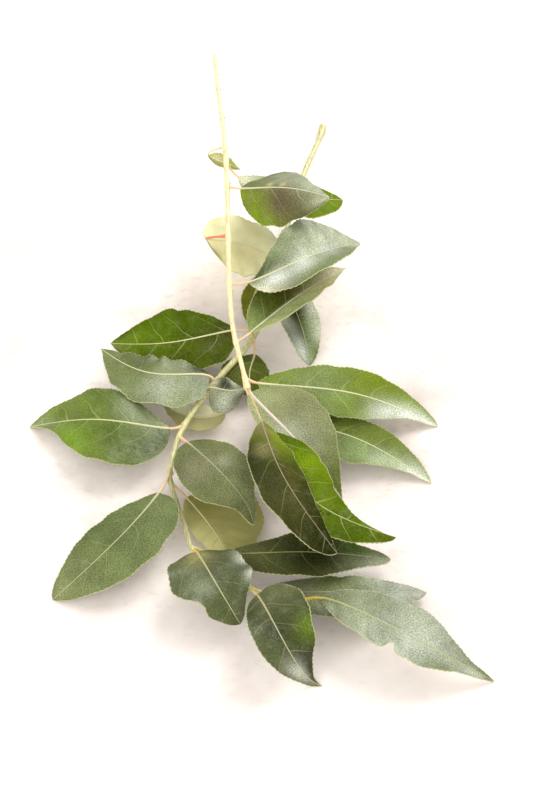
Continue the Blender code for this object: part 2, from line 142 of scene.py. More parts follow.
# The midrib of a leaflet's blade runs through base, middle, knee if it has one, and tip, and "at" is how
# far along its rachis it grows, from the cut end, with None for the one at the tip. Pairs are for the left
# and the right half of the blade, seen from its base with its upper side up. half_widths are their widest,
# lifts the angles by which they rise from level, and peaks where along the blade they are widest. rounds is
# how round they start (0.5) or how straight (1.0), and ends is the same for how they end, which moves the
# widest place too. drawn is how much narrower they get towards the tip. notches are bites out of the rim:
# (share of the length, half, reach, share of the half width). roll turns the blade about its midrib, 180
# being upside down, and twists adds to that at its base and at its tip. curl bends both halves up across
# their width, ripple waves their rim: (height, waves), and stalk and rib are the radii of the rod.
LEAFLETS = {
    "front_leaflet_1": dict(
        at=35, base=(-16.6, 72, 24), middle=(-12.1, 70.7, 22), tip=(-7.5, 70.2, 20),
        half_widths=(2.9, 2.9), lifts=(10, 15), peaks=(0.4, 0.45), rounds=(0.8, 0.8),
        ripple=(0.2, 2), stalk=0.22,
    ),
    "front_leaflet_2": dict(
        at=40, base=(-8, 65, 22), middle=(8, 58, 21), tip=(21.5, 62.8, 15),
        half_widths=(7, 8), peaks=(0.5, 0.52), rounds=(0.8, 0.8),
    ),
    "front_leaflet_3": dict(
        at=49, base=(-7, 55, 26.6), middle=(5.6, 48, 33.2), tip=(17, 44, 33.5),
        half_widths=(11, 11.1), lifts=(-15, -10), roll=15, curl=-28, peaks=(0.34, 0.48),
        rounds=(0.55, 0.65),
    ),
    "front_leaflet_4": dict(
        at=66, base=(-16.7, 42, 20), middle=(-6, 44.5, 15), tip=(9, 39, 9),
        half_widths=(12, 11), roll=180,
    ),
    "front_leaflet_5": dict(
        at=82, base=(-4.8, 25, 20), middle=(10.4, 30, 24), tip=(25.8, 41, 19),
        half_widths=(11.8, 10), lifts=(12, 26), roll=4, twists=(34, -8), peaks=(0.6, 0.45),
        rounds=(1.4, 0.7),
    ),
    "front_leaflet_6": dict(
        at=101, base=(-4.4, 11.6, 14), middle=(6.8, 23.7, 14), tip=(22, 40.4, 10),
        half_widths=(8.5, 8), lifts=(22, 32), rib=0.24,
    ),
    "front_leaflet_7": dict(
        at=112, base=(-2.3, -4.6, 11.8), middle=(21.5, -5.9, 9.5), tip=(45.6, -9.8, 0.2),
        half_widths=(8, 8.3), lifts=(2, 2), roll=8, peaks=(0.5, 0.42), drawn=(0.1, 0.5), rib=0.2,
    ),
    "front_leaflet_8": dict(
        at=None, base=(-4.4, -7.9, 11.6), middle=(7.3, -24.6, 12.2), tip=(19.4, -41.6, 8),
        half_widths=(12.3, 5), lifts=(5, -15), peaks=(0.34, 0.4), rounds=(0.55, 0.65), stalk=0.42,
        rib=0.34,
    ),
    "front_leaflet_9": dict(
        at=115, base=(-1.4, -22.1, 16.5), middle=(4.7, -47.7, 23), tip=(17.2, -63.4, 14),
        half_widths=(7, 8.5), lifts=(-9, -9), roll=-21, peaks=(0.45, 0.62), rounds=(0.7, 0.9),
        stalk=0.24, rib=0.14,
    ),
    "front_leaflet_10": dict(
        at=113.5, base=(-0.2, -23.9, 14.6), middle=(11.5, -48.9, 17), tip=(32.4, -53.7, 8),
        half_widths=(9.5, 8), peaks=(0.33, 0.6), rounds=(0.75, 0.9), drawn=(0.6, 0.3), stalk=0.24,
        rib=0.13,
    ),
    "front_leaflet_11": dict(
        at=115, base=(-2, -12, 8.5), middle=(19.7, -17.3, 6), tip=(42.9, -29.6, 0.2),
        half_widths=(6.6, 9), lifts=(3, 3), roll=3, peaks=(0.56, 0.42), rounds=(0.9, 0.7),
        drawn=(0.1, 0.5),
    ),
    "back_leaflet_1": dict(
        at=69, base=(0, 40.5, 7), middle=(-3.3, 34.6, 5.5), tip=(-4.9, 24, 3),
        half_widths=(2.6, 3.5),
    ),
    "back_leaflet_2": dict(
        at=74.5, base=(3.4, 36, 8.5), middle=(9.5, 21, 7), tip=(11.8, 12.4, 0.2),
        half_widths=(6, 8), lifts=(35, 35), peaks=(0.55, 0.5), rounds=(0.9, 0.8),
    ),
    "back_leaflet_3": dict(
        at=95.5, base=(-8.3, 17.4, 9), middle=(-24.4, 13.5, 8.5), tip=(-42.7, 18, 3),
        half_widths=(11, 12), lifts=(-2, -2), roll=-4, peaks=(0.35, 0.5), rounds=(0.5, 0.8),
    ),
    "back_leaflet_4": dict(
        at=97.5, base=(-3.2, 11.4, 6), middle=(-4.5, 5, 6), tip=(-4, -2, 4),
        half_widths=(5.5, 8), peaks=(0.55, 0.55), rounds=(0.8, 0.8),
    ),
    "back_leaflet_5": dict(
        at=117, base=(-15.2, -0.3, 9.8), middle=(-29.2, -1.6, 12), tip=(-45, 12.4, 7),
        half_widths=(10.5, 8), lifts=(-10, -10), roll=4, peaks=(0.3, 0.4), rounds=(0.5, 0.7),
        ripple=(0.6, 5),
    ),
    "back_leaflet_6": dict(
        at=120, base=(-15.2, -4.6, 10.2), middle=(-10.1, -6.5, 11), tip=(-5.9, -4.8, 10),
        half_widths=(3.5, 6.5), lifts=(5, 5), roll=35, curl=-40, ripple=(0.25, 1.5), stalk=0.24,
    ),
    "back_leaflet_7": dict(
        at=121.5, base=(-11.3, -7.6, 4), middle=(-19.2, -9.1, 3.5), tip=(-27.7, -4.3, 3),
        half_widths=(4.5, 4.5), roll=180, stalk=0.24,
    ),
    "back_leaflet_8": dict(
        at=133, base=(-25.4, -16.8, 7.5), middle=(-42.1, -15.3, 9), tip=(-63, -10, 0.2),
        half_widths=(13.5, 11.5), lifts=(-4, -4), roll=-4, peaks=(0.3, 0.57), rounds=(0.5, 0.9),
        drawn=(0.55, 0.3),
    ),
    "back_leaflet_9": dict(
        at=137, base=(-20.6, -23, 9), middle=(-12.1, -36, 13), knee=(-4.9, -45.8, 11),
        tip=(-3.2, -50.4, 9),
        half_widths=(9, 10), lifts=(-5, -5), peaks=(0.45, 0.5), rounds=(0.55, 0.5), drawn=(0.6, 0.6),
        rib=0.13,
    ),
    "back_leaflet_10": dict(
        at=149, base=(-27.5, -39.6, 8.5), middle=(-37.2, -55.1, 9), tip=(-53.2, -67.3, 0.2),
        half_widths=(11.2, 8), lifts=(4, -3), peaks=(0.27, 0.55), rounds=(0.45, 0.8), ends=(0.72, 0.6),
        rib=0.14,
    ),
    "back_leaflet_11": dict(
        at=152, base=(-20.6, -38, 4.8), middle=(-13, -48.8, 3.6), tip=(-7.9, -60, 2.6),
        half_widths=(5, 14.6), roll=180, stalk=0.3,
    ),
    "back_leaflet_12": dict(
        at=174, base=(-12, -57.9, 6.9), middle=(8.8, -58.4, 8), tip=(31.1, -57.7, 4),
        half_widths=(6.3, 8.2), lifts=(5, 5), roll=2, peaks=(0.42, 0.35), rounds=(1.0, 0.6),
        ends=(0.55, 0.5), drawn=(0.45, 0.45), rib=0.13,
    ),
    "back_leaflet_13": dict(
        at=175.5, base=(-17.4, -58.8, 8.4), middle=(-12.4, -70.9, 11.6), tip=(-6.5, -77.9, 4.5),
        half_widths=(10, 10.5), peaks=(0.48, 0.42), rounds=(0.6, 0.45), drawn=(0.3, 0.3),
        notches=[(0.66, 1, 2.2, 0.28)], ripple=(1.0, 2.5),
    ),
    "back_leaflet_14": dict(
        at=194, base=(-2.3, -71.8, 8.1), middle=(4.1, -88.6, 12), knee=(10.3, -92.4, 2),
        tip=(13.4, -93.2, 0.2),
        half_widths=(9.8, 6.6), lifts=(20, 0), peaks=(0.3, 0.45), rounds=(0.45, 0.7), drawn=(0.3, 0.3),
        rib=0.14,
    ),
    "back_leaflet_15": dict(
        at=195, base=(-1, -67.5, 4), middle=(19.8, -69, 5.5), tip=(39.8, -66.5, 2),
        half_widths=(5, 8), lifts=(3, 3), peaks=(0.4, 0.35), ends=(0.75, 0.7),
    ),
    "back_leaflet_16": dict(
        at=None, base=(13.5, -73.4, 9), middle=(33.2, -85.5, 11), tip=(55.1, -92, 0.2),
        half_widths=(8.5, 6.8), peaks=(0.42, 0.35), rounds=(0.65, 0.6), ends=(0.75, 0.7),
        drawn=(0.6, 0.5), notches=[(0.45, 1, 1.2, 0.45)],
    ),
}

USUAL_LEAFLET = dict(
    lifts=(0, 0), roll=0, twists=(0, 0), curl=0, peaks=(0.4, 0.4), rounds=(0.65, 0.65), ends=(None, None),
    drawn=(0.1, 0.1), notches=(), ripple=(0.3, 4), knee=None, stalk=STALK_RADIUS, rib=RIB_RADIUS,
)

# How each leaflet is tinted, with painted light in the tints. halves are its left and its right half, and
# patches lie
# softly over them: (share of the length, share of the half width with the left half negative, radius,
# colour). Besides the leaflets' own colours they hold painted sheen, painted shade and painted light coming
# through from behind. glow is how much light comes through it, a waxy one shines, and stem and rib are the
# colours of its stalk and midrib.
COLOURS_AND_PAINTED_LIGHT = {
    "front_leaflet_1": dict(halves=("#A8AE62", "#8E9440"), glow=0.6, patches=[(0.25, 0, 1.5, "#DCDCA8")]),
    # Its saturated green is partly painted light coming through it, and the near-white patch at its foot a
    # painted highlight.
    "front_leaflet_2": dict(
        halves=("#6A8200", "#647C00"), glow=0.8,
        patches=[(0.02, 0, 5.5, "#FCFCE4"), (0.4, 0, 5, "#5E6030")],
    ),
    # Its grey-green left half and grey patch are painted sheen, its brown-olive right half and patch painted
    # shade, and the bright green patches on its right rim painted light coming through.
    "front_leaflet_3": dict(
        halves=("#808A62", "#5E582C"), glow=0.2, waxy=True, rib="#DCD4B4",
        patches=[
            (0.05, -0.3, 4, "#52640A"), (0.12, -0.9, 3, "#3A461A"), (0.75, -0.6, 7, "#A2AA88"),
            (0.1, 0.7, 6, "#86960C"), (0.35, 0.95, 5, "#7A9410"), (0.98, 0.4, 3, "#B6BA98"),
            (0.55, 0.35, 4, "#685A3C"), (0.35, -0.1, 0.7, "#C8B890"), (0.5, -0.15, 0.7, "#C8B890"),
        ],
    ),
    # Its near-white halves and white patch are painted light coming through it, which also lifts the shade
    # on it.
    "front_leaflet_4": dict(
        halves=("#F2EABC", "#FFFAD2"), glow=1.0, stem="#E08A68",
        patches=[(0.35, -0.5, 4, "#E0D8A4"), (0.04, -0.9, 2, "#6E6A34"), (0.8, 0.9, 4, "#FFFFFF")],
    ),
    # The near-white patches along its midrib are painted sheen.
    "front_leaflet_5": dict(
        halves=("#8C966A", "#76844C"), glow=0.1, waxy=True,
        patches=[
            (0.0, -0.5, 6, "#303C00"), (0.9, -0.4, 8, "#A8AE8C"), (0.2, 0.35, 3.0, "#E6EADC"),
            (0.42, 0.2, 3.0, "#E0E4D4"), (0.65, 0.12, 2.5, "#C8CEB6"), (0.97, 0.7, 3, "#E8E2C4"),
            (0.1, 0.9, 3, "#E0DCC0"),
        ],
    ),
    # Its near-black left half is painted shade under front_5, and its pale right half and tip patches
    # painted light that lifts the shade on them.
    "front_leaflet_6": dict(
        halves=("#444E08", "#BCC684"), glow=0.3, rib="#EEE8CC",
        patches=[
            (0.0, -0.3, 5, "#98A862"), (0.75, -0.5, 4, "#56620A"), (0.7, 0.7, 5, "#F0E8A8"),
            (0.95, 0.6, 6, "#FFF8D8"), (1.0, -0.5, 4, "#F4ECC0"), (0.45, -0.7, 2, "#5A3018"),
        ],
    ),
    # The near-white patches towards its tip are painted sheen.
    "front_leaflet_7": dict(
        halves=("#7A8C30", "#7E9248"), glow=0.5, rib="#E6E2B8",
        patches=[
            (0.65, -0.5, 8, "#748616"), (0.3, -0.3, 6, "#84945A"), (0.7, 0.6, 3.5, "#D8DEC8"),
            (0.85, 0.5, 4, "#F4F8EA"), (0.97, 0.4, 5, "#F4F6E8"),
        ],
    ),
    # Its pale right half and the pale patch on it are painted sheen.
    "front_leaflet_8": dict(
        halves=("#929664", "#B4BA84"), glow=0.1, stem="#EFDDC4", rib="#EADCCB",
        patches=[
            (0.35, -0.5, 6, "#8A8C60"), (0.1, 0, 3, "#9AA272"), (0.95, -0.4, 8, "#626C2A"),
            (0.5, 0.6, 5, "#D4D8BE"),
        ],
    ),
    "front_leaflet_9": dict(
        halves=("#2A3000", "#2E3012"), glow=0.2, stem="#D8BE90", rib="#A68F78",
        patches=[
            (0.08, -0.4, 9, "#849A08"), (0.05, 0.3, 5, "#887E50"), (0.35, 0.85, 5, "#1E2804"),
            (0.3, 0.3, 2.5, "#807A4C"), (0.68, 0.4, 5, "#46461C"), (0.5, -0.5, 3, "#4E4C10"),
            (0.95, -0.3, 5, "#222A00"),
        ],
    ),
    # Its saturated greens are partly painted light coming through it.
    "front_leaflet_10": dict(
        halves=("#546A00", "#465A00"), glow=0.9, stem="#CFC080", rib="#C8CE92",
        patches=[
            (0.35, -0.6, 5, "#708A00"), (1.0, 0, 3, "#5E5A18"), (0.6, 0.3, 4, "#5E7400"),
            (0.6, 0.25, 0.5, "#2A300A"), (0.64, 0.1, 0.5, "#2A300A"), (0.68, -0.05, 0.5, "#2A300A"),
            (0.72, -0.2, 0.5, "#2A300A"),
        ],
    ),
    # The pale patches towards its tip are painted sheen.
    "front_leaflet_11": dict(
        halves=("#708034", "#82945A"), glow=0.4,
        patches=[(0.97, -0.3, 4, "#A8B088"), (0.95, 0.5, 5, "#F4F6E6"), (0.72, 0.5, 3, "#B0BC94")],
    ),
    "back_leaflet_1": dict(halves=("#6C7020", "#6C7020"), glow=0.8),
    # Its near-white patches are painted sheen, and its bright green left half partly painted light coming
    # through it.
    "back_leaflet_2": dict(
        halves=("#567000", "#364000"), glow=0.6,
        patches=[
            (0.5, 0.85, 2.5, "#DCE0D4"), (0.9, 0.45, 3.5, "#E0E4D8"), (0.45, -0.95, 3, "#FAFAF0"),
            (0.7, -0.95, 2.5, "#D8DCC4"), (0.97, -0.3, 2.5, "#BCC69A"), (0.1, -0.1, 3, "#38440A"),
            (0.45, 0.1, 2, "#2E3A04"),
        ],
    ),
    # Its bright green patch is painted light coming through it.
    "back_leaflet_3": dict(
        halves=("#4C5A0E", "#465A00"), glow=0.5,
        patches=[(0.95, -0.2, 5, "#88924C"), (0.75, 0, 6, "#5E7A02"), (0.05, 0, 5, "#484E1A")],
    ),
    "back_leaflet_4": dict(halves=("#5A6424", "#646C30"), glow=0.3),
    "back_leaflet_5": dict(
        halves=("#78844E", "#6C783C"), glow=0.1, waxy=True,
        patches=[
            (0.1, -0.4, 6, "#808A5C"), (0.35, -0.4, 3, "#B2B89A"), (0.05, 0.6, 3.5, "#1A1E04"),
            (0.3, 0.6, 4, "#98A276"), (0.6, 0.5, 6, "#5E6A30"),
        ],
    ),
    # Its pale patches are painted highlights, and its near-black left half and spot painted shade in its
    # curl.
    "back_leaflet_6": dict(
        halves=("#2C3000", "#8A9068"), waxy=True, rib="#C8C49C",
        patches=[
            (0.7, -0.8, 1.5, "#BAC4A0"), (0.6, 0.6, 2, "#C8CCB4"), (0.15, -0.5, 1.5, "#C8C49A"),
            (0.45, -0.5, 1.5, "#0C1000"), (0.8, 0.5, 1.5, "#585E34"), (0.95, 0, 1.5, "#D8DAC4"),
        ],
    ),
    # Its near-white left half is painted light, which lifts the shade of back_5 above it.
    "back_leaflet_7": dict(halves=("#FCFAD4", "#BCB684"), glow=1.0),
    # Its bright green patches are painted light coming through it, and its paler grey-green ones painted
    # sheen.
    "back_leaflet_8": dict(
        halves=("#6A7A2C", "#6A7A30"), glow=0.5, waxy=True,
        patches=[
            (0.05, -0.4, 7, "#56623A"), (0.66, -0.5, 5, "#769814"), (0.97, 0, 6, "#9AA478"),
            (0.1, 0.6, 5, "#848E62"), (0.33, 0.55, 3.5, "#9AA480"), (0.5, 0.4, 5, "#5C7012"),
            (0.75, 0.5, 5, "#6E8424"), (0.35, -0.3, 3, "#4E6410"),
        ],
    ),
    "back_leaflet_9": dict(
        halves=("#767C50", "#747A4E"), rib="#A8AC84",
        patches=[
            (0.97, 0, 4, "#5E6238"), (0.35, 0.45, 3, "#8C8868"), (0.25, 0.1, 2.5, "#84845E"),
            (0.7, -0.4, 5, "#848A5C"), (0.42, -0.3, 2, "#9A9A7C"),
        ],
    ),
    "back_leaflet_10": dict(
        halves=("#707C4C", "#6A7647"), glow=0.1, rib="#BCC092",
        patches=[(0.05, 0, 6, "#7E8858"), (0.95, 0, 8, "#868C5E")],
    ),
    # Its pale halves are painted light, which lifts the shade of back_9 above it.
    "back_leaflet_11": dict(halves=("#E2DC98", "#BEB872"), glow=0.8, patches=[(0.1, 0, 6, "#A8A05C")]),
    # Its dark halves and near-black middle patch are painted shade under front_9 and front_10, and the pale
    # patch at its tip painted sheen.
    "back_leaflet_12": dict(
        halves=("#4A4E2A", "#565A30"), glow=0.1, stem="#E8D080", rib="#A8A068",
        patches=[
            (0.0, 0, 7, "#8A8A58"), (0.6, 0, 6, "#1C2000"), (0.97, 0, 6, "#7C8458"),
            (0.95, 0.6, 5, "#9CA286"), (0.78, -0.6, 3, "#385004"),
        ],
    ),
    # The pale patches on its rim are painted highlights.
    "back_leaflet_13": dict(
        halves=("#545C34", "#5A623A"), glow=0.1, waxy=True, stem="#E8D080", rib="#C2BE8A",
        patches=[
            (0.0, 0, 4, "#A89E60"), (0.35, -0.98, 1.5, "#D0D4BC"), (0.6, -0.98, 1.5, "#C8CCB4"),
            (0.7, 0.3, 3, "#4A502A"), (0.9, -0.4, 3, "#6A6E4E"), (0.5, 0.4, 2, "#868E6C"),
        ],
    ),
    # Its pale patch is painted sheen.
    "back_leaflet_14": dict(
        halves=("#484F24", "#565C34"), glow=0.2, waxy=True, stem="#E8D488", rib="#C2BE94",
        patches=[
            (0.05, 0.5, 3.5, "#9A9C70"), (0.05, -0.3, 6, "#6E7248"), (0.74, -0.6, 4, "#24290A"),
            (0.8, 0.25, 3, "#C4C6B4"), (0.2, 0.8, 5, "#3C4216"), (0.52, -0.85, 2.5, "#5E7410"),
            (0.45, 0, 3, "#2E340C"),
        ],
    ),
    "back_leaflet_15": dict(
        halves=("#7A8456", "#747C54"), waxy=True, stem="#E0C070", rib="#A6AC84",
        patches=[(0.2, -0.2, 5, "#A0A678"), (0.45, -0.7, 4, "#6A7440"), (0.9, -0.5, 7, "#A8AC94")],
    ),
    # Its pale grey patches along the midrib are painted sheen.
    "back_leaflet_16": dict(
        halves=("#8C9472", "#949C7C"), glow=0.1, waxy=True, stem="#E6C850", rib="#B4B682",
        patches=[
            (0.0, 0, 5, "#6C7446"), (0.98, -0.4, 7, "#666E44"), (0.6, 0.25, 8, "#B0B69E"),
            (0.85, 0.4, 3, "#BCC0A8"), (0.7, 1.0, 3, "#868E66"),
        ],
    ),
}

USUAL_TINT = dict(glow=0.0, patches=(), stem="#F0CFA0", rib="#DEDAA8")

# Camera: how high above the table it looks from, in degrees, its distance, and its lens.
CAMERA_ELEVATION = 48
CAMERA_DISTANCE = 600
CAMERA_LENS = 100


def colour(code):
    """Linear red, green, blue and alpha of an sRGB hex colour."""
    channels = [int(code[i : i + 2], 16) / 255 for i in (1, 3, 5)]
    linear = [c / 12.92 if c <= 0.04045 else ((c + 0.055) / 1.055) ** 2.4 for c in channels]
    return (*linear, 1.0)


def add(tree, kind, inputs=None, **settings):
    """A node with its settings. Each input is a value, a socket, or a node whose first output it takes."""
    node = tree.nodes.new(kind)
    for name, value in settings.items():
        setattr(node, name, value)
    for key, value in (inputs or {}).items():
        for item in value if isinstance(value, list) else [value]:
            if isinstance(item, bpy.types.Node):
                item = item.outputs[0]
            if isinstance(item, bpy.types.NodeSocket):
                tree.links.new(item, node.inputs[key])
            else:
                node.inputs[key].default_value = item
    return node


def new_object(name, data):
    thing = bpy.data.objects.new(name, data)
    bpy.context.scene.collection.objects.link(thing)
    return thing


# Shapes: the sheets and the lines that the trees grow from.


def unit(vectors):
    return vectors / np.linalg.norm(vectors, axis=-1, keepdims=True)


def smooth_step(values, low, high):
    share = np.clip((values - low) / (high - low), 0.0, 1.0)
    return share * share * (3 - 2 * share)


def smooth_curve(points):
    """Samples of the natural cubic spline through the points, their arc lengths, and the points' own."""
    points = np.array(points, float)
    spans = np.sqrt(np.linalg.norm(np.diff(points, axis=0), axis=1))
    knots = np.concatenate([[0.0], np.cumsum(spans)])
    count = len(points)
    matrix = np.eye(count)
    right = np.zeros((count, 3))
    for i in range(1, count - 1):
        before, after = spans[i - 1], spans[i]
        matrix[i, i - 1 : i + 2] = before, 2 * (before + after), after
        right[i] = 6 * ((points[i + 1] - points[i]) / after - (points[i] - points[i - 1]) / before)
    bends = np.linalg.solve(matrix, right)
    at = np.linspace(0.0, knots[-1], CURVE_SAMPLES)
    span = np.clip(np.searchsorted(knots, at, side="right") - 1, 0, count - 2)
    width = spans[span][:, None]
    left = (knots[span + 1] - at)[:, None]
    gone = (at - knots[span])[:, None]
    curve = (bends[span] * left**3 + bends[span + 1] * gone**3) / (6 * width)
    curve += (points[span] / width - bends[span] * width / 6) * left
    curve += (points[span + 1] / width - bends[span + 1] * width / 6) * gone
    lengths = np.concatenate([[0.0], np.cumsum(np.linalg.norm(np.diff(curve, axis=0), axis=1))])
    return curve, lengths, np.interp(knots, at, lengths)


def along(curve, lengths, distances):
    """Points and unit directions of a sampled curve at the given distances along it."""
    directions = unit(np.gradient(curve, axis=0))
    places = np.stack([np.interp(distances, lengths, curve[:, k]) for k in range(3)], axis=-1)
    heads = np.stack([np.interp(distances, lengths, directions[:, k]) for k in range(3)], axis=-1)
    return places, unit(heads)


def stalk_start(rachis, at):
    """Where a leaflet's stalk grows out of its rachis: at its axis, or just inside its tip."""
    curve, lengths, _ = smooth_curve(RACHISES[rachis]["route"])
    distance = lengths[-1] - TIP_INSET if at is None else at
    (place,), _ = along(curve, lengths, np.array([float(distance)]))
    return place


def half_width(fractions, peak, roundness, end):
    """0 at both ends of the blade and 1 at its widest place. end sets how blunt the tip is, if not None."""
    fall = end or roundness * (1 - peak) / peak
    if end:
        peak = roundness / (roundness + end)
    return (fractions / peak) ** roundness * ((1 - fractions) / (1 - peak)) ** fall


def side_directions(heads, fractions, roll, twists):
    """The blade's sideways and upward directions at each row, carried along the midrib without spin."""
    sides = np.zeros_like(heads)
    level_row = int(np.searchsorted(fractions, LEVEL_AT))
    sides[level_row] = unit(np.cross(heads[level_row], (0.0, 0.0, 1.0)))
    for step, last in ((1, len(heads) - 1), (-1, 0)):
        for row in range(level_row + step, last + step, step):
            carried = sides[row - step]
            sides[row] = unit(carried - heads[row] * carried.dot(heads[row]))
    ups = np.cross(sides, heads)
    turns = np.interp(fractions, [0.0, 0.5, 1.0], [roll + twists[0], roll, roll + twists[1]])
    turn = np.radians(turns)[:, None]
    return sides * np.cos(turn) - ups * np.sin(turn), ups * np.cos(turn) + sides * np.sin(turn)


def blade_half(spec, half, fractions, length, seed):
    """A half's width at each row, and its columns' shares of that width: out from the midrib, and up."""
    shape = [spec[key][half] for key in ("peaks", "rounds", "ends")]
    width = spec["half_widths"][half] * half_width(fractions, *shape)
    width *= 1 - spec["drawn"][half] * smooth_step(fractions, DRAWN_FROM, DRAWN_TO)
    width *= 1 + WANDER * np.sin(fractions * length / WANDER_LENGTH + 5 * seed + 2 * half)
    for share, bitten, reach, depth in spec["notches"]:
        if bitten == half:
            width *= 1 - depth * np.exp(-(((fractions - share) * length / reach) ** 2))
    outward = np.array(COLUMNS)
    bend = math.radians(spec["curl"])
    angles = math.radians(spec["lifts"][half]) + bend * (outward[1:] + outward[:-1]) / 2
    out = np.concatenate([[0.0], np.cumsum(np.cos(angles) * np.diff(outward))])
    rise = np.concatenate([[0.0], np.cumsum(np.sin(angles) * np.diff(outward))])
    return np.maximum(width, LEAST_HALF_WIDTH), out, rise


def midrib_line(spec, curve, lengths, blade_start, fractions, ups):
    """The stalk and midrib's line: its points, how far past the blade's foot they are, and its radius."""
    blade_length = lengths[-1] - blade_start
    stalk = np.linspace(0.0, blade_start, STALK_POINTS)[:-1]
    rib = blade_start + blade_length * np.linspace(0.0, RIB_END, RIB_POINTS)
    at = np.concatenate([stalk, rib])
    past = at - blade_start
    points, _ = along(curve, lengths, at)
    skin_ups = np.stack([np.interp(past / blade_length, fractions, ups[:, k]) for k in range(3)], -1)
    stalk_end = max(blade_start, FLARE_AT[-1] + 0.1)
    radius = np.interp(
        at,
        [*FLARE_AT, stalk_end, blade_start + RIB_FULL_AT * blade_length, lengths[-1]],
        [*(share * spec["stalk"] for share in FLARE), spec["stalk"], spec["rib"], RIB_TIP_RADIUS],
    )
    # It shows on the side that faces up, which is the lower skin of a leaflet that lies upside down.
    height = RIB_SUNK * radius if abs(spec["roll"]) > 90 else LEAF_THICKNESS - RIB_SUNK * radius
    return points + skin_ups * (np.clip(past / RIB_RISE, 0.0, 1.0) * height)[:, None], past, radius


def leaf_colours_with_painted_light(tint, fractions, across, length, width):
    """Each point's colour: its half's, and then the soft round patches over it, with painted sheen, shade
    and light in both.
    """
    left, right = (np.array(colour(code)) for code in tint["halves"])
    side = smooth_step(across, -SEAM, SEAM)[None, :, None]
    colours = np.broadcast_to(left * (1 - side) + right * side, (len(fractions), len(across), 4)).copy()
    for share, out, radius, code in tint["patches"]:
        gap = ((fractions[:, None] - share) * length) ** 2 + ((across[None] - out) * width) ** 2
        amount = np.exp(-gap / (2 * radius**2))[..., None]
        colours += (np.array(colour(code)) - colours) * amount
    return colours


def store(mesh, kind, values):
    """Gives the mesh's points attributes of one kind."""
    field = {"FLOAT": "value", "FLOAT_COLOR": "color", "FLOAT_VECTOR": "vector"}[kind]
    for name, numbers in values.items():
        attribute = mesh.attributes.new(name, kind, "POINT")
        attribute.data.foreach_set(field, np.asarray(numbers, np.float32).ravel())


def leaf_sheet(name, seed):
    """A mesh of the leaflet's open sheet and, as loose edges, the line of its stalk and midrib."""
    spec = {**USUAL_LEAFLET, **LEAFLETS[name]}
    tint = {**USUAL_TINT, **COLOURS_AND_PAINTED_LIGHT[name]}
    start = stalk_start(name.split("_")[0] + "_rachis", spec["at"])
    knee = [spec["knee"]] if spec["knee"] else []
    curve, lengths, marks = smooth_curve([start, spec["base"], spec["middle"], *knee, spec["tip"]])
    blade_start = marks[1]
    blade_length = lengths[-1] - blade_start
    fractions = np.linspace(0.0, 1.0, int(blade_length / ROW_STEP)) ** ROW_CROWDING
    distance = fractions * blade_length
    places, heads = along(curve, lengths, blade_start + blade_length * fractions)
    sides, ups = side_directions(heads, fractions, spec["roll"], spec["twists"])

    swell, waves = spec["ripple"]
    ripple = swell * np.sin(2 * math.pi * waves * fractions + seed) * np.sin(math.pi * fractions)
    outward = np.array(COLUMNS)
    halves, widths = [], []
    for half, sign in ((0, -1), (1, 1)):
        width, out, rise = blade_half(spec, half, fractions, blade_length, seed)
        flat = sign * sides[:, None] * out[None, :, None] + ups[:, None] * rise[None, :, None]
        waved = ups[:, None] * (ripple[:, None] * outward**2)[..., None]
        halves.append(places[:, None] + width[:, None, None] * flat + waved)
        widths.append(width)
    grid = np.concatenate([halves[0][:, :0:-1], halves[1]], axis=1)
    across = np.concatenate([-outward[:0:-1], outward])
    wide = np.where(across[None] < 0, widths[0][:, None], widths[1][:, None])
    rows, columns = wide.shape
    faces = [
        (corner, corner + 1, corner + columns + 1, corner + columns)
        for row in range(rows - 1)
        for corner in range(row * columns, (row + 1) * columns - 1)
    ]

    line, past, radius = midrib_line(spec, curve, lengths, blade_start, fractions, ups)
    first = rows * columns
    edges = [(first + i, first + i + 1) for i in range(len(line) - 1)]
    vertices = np.concatenate([grid.reshape(-1, 3), line]) + OFFSET
    mesh = bpy.data.meshes.new(name + "_sheet")
    mesh.from_pydata((vertices * MM).tolist(), edges, faces)

    # Each attribute is the sheet's values and then the line's.
    sheet_blank, line_blank = np.zeros(first), np.zeros(len(line))
    store(mesh, "FLOAT", {
        "rib_radius": np.concatenate([sheet_blank, radius * MM]),
        "along_mm": np.concatenate([np.repeat(distance, columns), past]),
        "across_mm": np.concatenate([(wide * across[None]).ravel(), line_blank]),
        "half_mm": np.concatenate([wide.ravel(), line_blank + 1.0]),
        "rib_mm": np.concatenate([np.repeat(np.interp(distance, past, radius), columns), line_blank]),
        "leaf_seed": np.full(len(vertices), float(seed)),
        "glow": np.full(len(vertices), tint["glow"]),
    })
    outwards = sides[:, None] * np.sign(across)[None, :, None]
    outwards = np.concatenate([outwards.reshape(-1, 3), np.zeros_like(line)])
    store(mesh, "FLOAT_VECTOR", {"outwards": outwards})
    skin = leaf_colours_with_painted_light(tint, fractions, across, blade_length, np.mean(spec["half_widths"]))
    stem, rib = (np.array(colour(tint[key])) for key in ("stem", "rib"))
    share = smooth_step(past, RIB_COLOUR_FROM, RIB_COLOUR_TO)[:, None]
    store(mesh, "FLOAT_COLOR", {
        "tint": np.concatenate([skin.reshape(-1, 4), stem * (1 - share) + rib * share]),
        "rib_tint": np.tile(rib, (len(vertices), 1)),
    })
    return mesh


